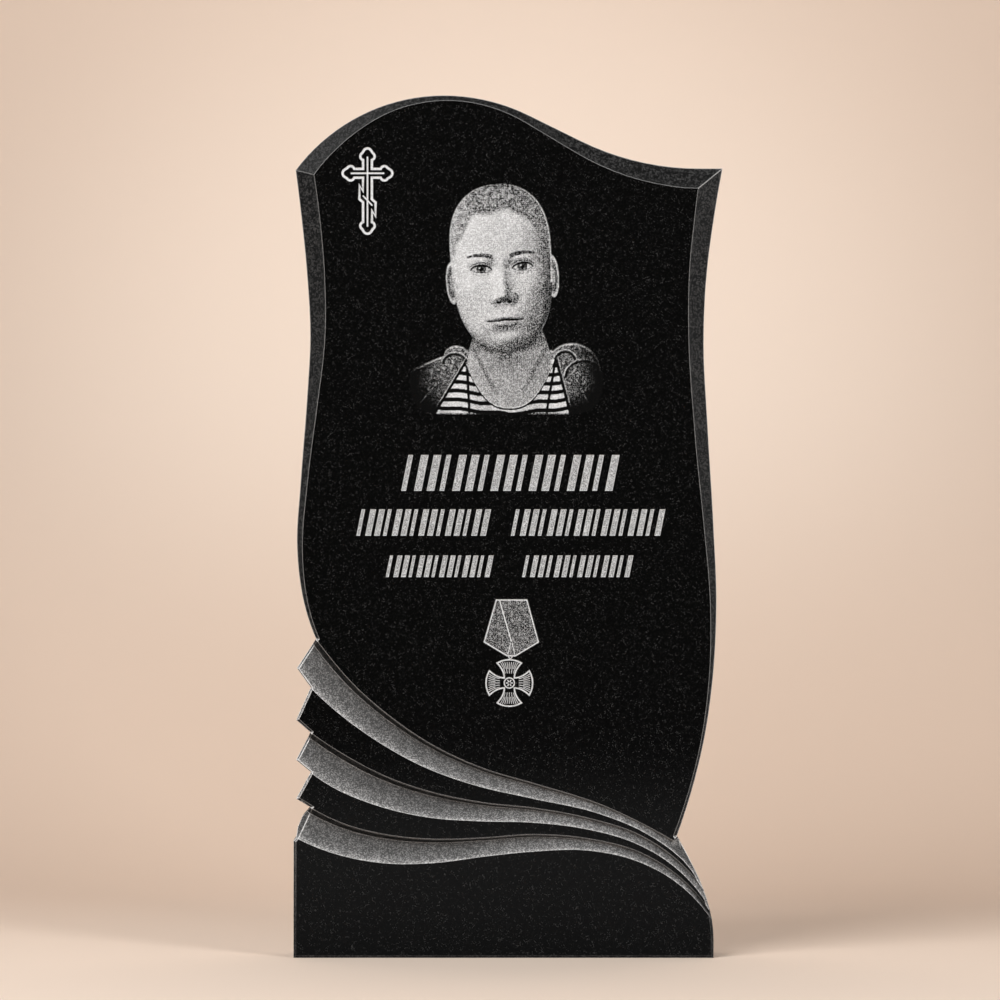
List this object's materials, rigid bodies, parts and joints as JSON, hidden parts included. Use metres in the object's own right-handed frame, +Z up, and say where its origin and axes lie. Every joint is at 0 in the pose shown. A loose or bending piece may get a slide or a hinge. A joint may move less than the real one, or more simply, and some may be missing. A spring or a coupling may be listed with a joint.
{
  "type": "headstone",
  "caption": "Upright stone stele with a wavy top, hollow-curved bevelled sides, and swept channels over its base that end in teeth at the left.",
  "frame": {"origin": "middle of the bounding box on the underside", "axes": "+Z up, the carved and engraved front faces -Y, +X to the right as seen from the front"},
  "size_m": [0.498, 0.08, 1],
  "materials": {
    "black_granite": "polished front, honed bevels, tooled channels, sawn sides and back"
  },
  "bodies": {
    "root": {"headstone": "black_granite"}
  },
  "joints": []
}
